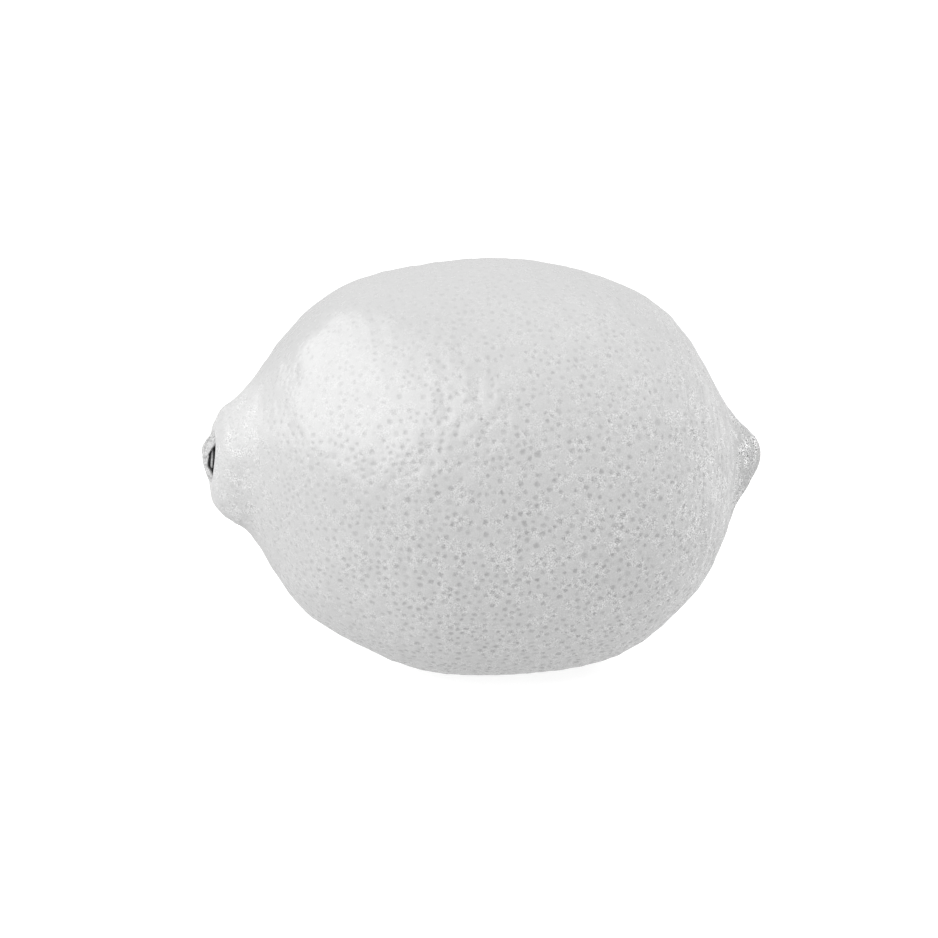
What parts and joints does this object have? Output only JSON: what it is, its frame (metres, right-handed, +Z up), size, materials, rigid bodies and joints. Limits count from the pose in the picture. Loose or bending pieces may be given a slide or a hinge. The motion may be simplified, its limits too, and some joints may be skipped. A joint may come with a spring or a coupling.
{
  "type": "lemon",
  "caption": "Whole fresh lemon lying on its side, with a short neck and dried calyx button at the stem end and a blunt nipple at the other.",
  "frame": {"origin": "middle of the footprint, on the surface that the lemon lies on", "axes": "+X along the fruit from the stem end to the nipple, +Z up, -Y towards the side that the picture shows"},
  "size_m": [0.0876, 0.0652, 0.0639],
  "materials": {
    "peel": "waxy satin, pitted with oil glands",
    "dried_calyx": "dry, rough and fissured"
  },
  "bodies": {
    "root": {"lemon_fruit": "peel", "calyx_button": "dried_calyx"}
  },
  "joints": []
}
